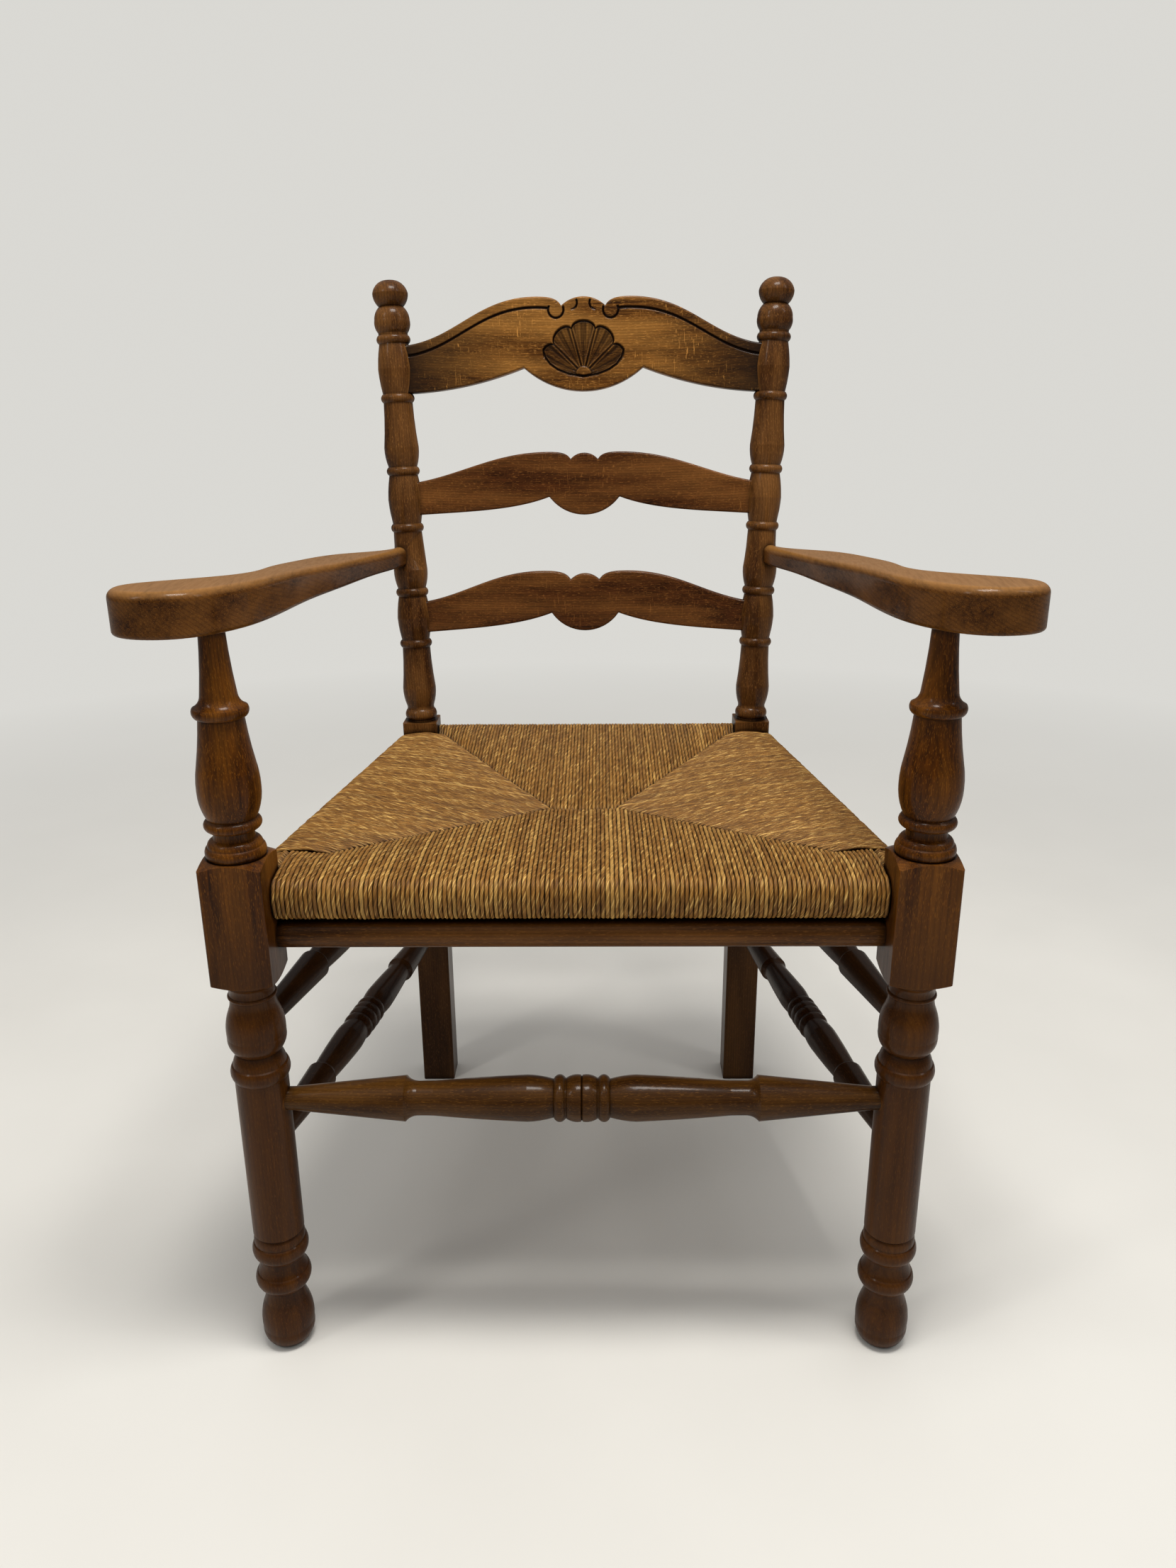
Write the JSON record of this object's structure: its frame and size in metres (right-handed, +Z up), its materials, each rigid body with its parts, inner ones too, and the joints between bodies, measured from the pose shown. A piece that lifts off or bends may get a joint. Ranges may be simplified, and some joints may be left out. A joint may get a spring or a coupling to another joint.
{
  "type": "carver chair",
  "caption": "Turned and sawn beech carver chair with shaped back slats, a carved crest, open arms, turned stretchers and a wound rush seat",
  "frame": {"origin": "on the floor, under the middle of the chair's outline", "axes": "+X to the right for someone who looks at the front of the chair, +Y to the back, +Z up"},
  "size_m": [0.6774, 0.5312, 0.9325],
  "materials": {
    "stained_beech": "satin stained",
    "worn_beech": "satin, rubbed by use",
    "bare_beech": "raw",
    "rush": "twisted rush",
    "stuffing": "loose rush"
  },
  "bodies": {
    "root": {"arm_left": "worn_beech", "arm_right": "worn_beech", "back_post_left": "stained_beech", "back_post_right": "stained_beech", "back_seat_rail": "bare_beech", "back_stretcher": "stained_beech", "back_stuffing_pad": "stuffing", "crest_rail": "worn_beech", "front_apron_rail": "stained_beech", "front_leg_left": "stained_beech", "front_leg_right": "stained_beech", "front_seat_rail": "bare_beech", "front_stretcher": "stained_beech", "front_stuffing_pad": "stuffing", "left_lower_stretcher": "stained_beech", "left_seat_rail": "bare_beech", "left_stuffing_pad": "stuffing", "left_upper_stretcher": "stained_beech", "lower_slat": "stained_beech", "middle_slat": "stained_beech", "right_lower_stretcher": "stained_beech", "right_seat_rail": "bare_beech", "right_stuffing_pad": "stuffing", "right_upper_stretcher": "stained_beech", "rush_seat": "rush"}
  },
  "joints": []
}
